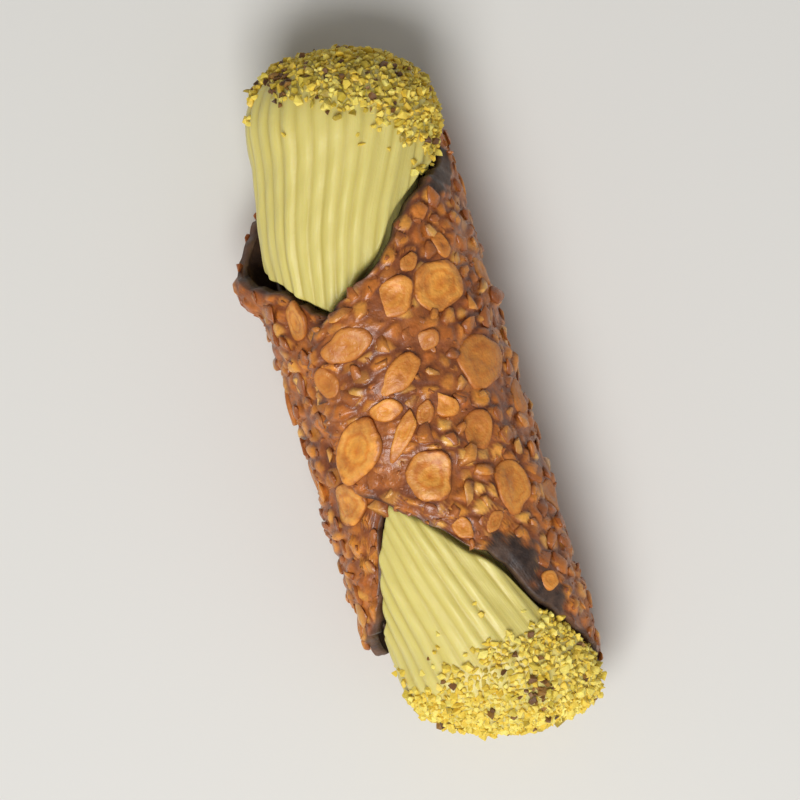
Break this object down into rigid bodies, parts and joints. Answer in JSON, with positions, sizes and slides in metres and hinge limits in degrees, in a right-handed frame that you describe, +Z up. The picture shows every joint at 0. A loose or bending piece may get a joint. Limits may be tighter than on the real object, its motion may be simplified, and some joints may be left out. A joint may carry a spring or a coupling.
{
  "type": "cannolo",
  "caption": "Crunchy nut-brittle cannolo lying on its side, lined with dark chocolate and filled with ridged pistachio cream that bulges from both mouths, its ends dipped in pistachio grain.",
  "frame": {"origin": "on the table under the middle of the cannolo's bounding box", "axes": "+Y along the roll towards the end that is at the top of the picture, +Z up, +X towards the side that the outer flap comes from"},
  "size_m": [0.0306, 0.09, 0.0295],
  "materials": {
    "nut_brittle": "glossy caramel with nut slices",
    "chocolate": "satin dark chocolate",
    "pistachio_cream": "soft satin cream"
  },
  "bodies": {
    "root": {"nut_brittle": "nut_brittle", "chocolate_lining": "chocolate", "pistachio_cream": "pistachio_cream"}
  },
  "joints": []
}
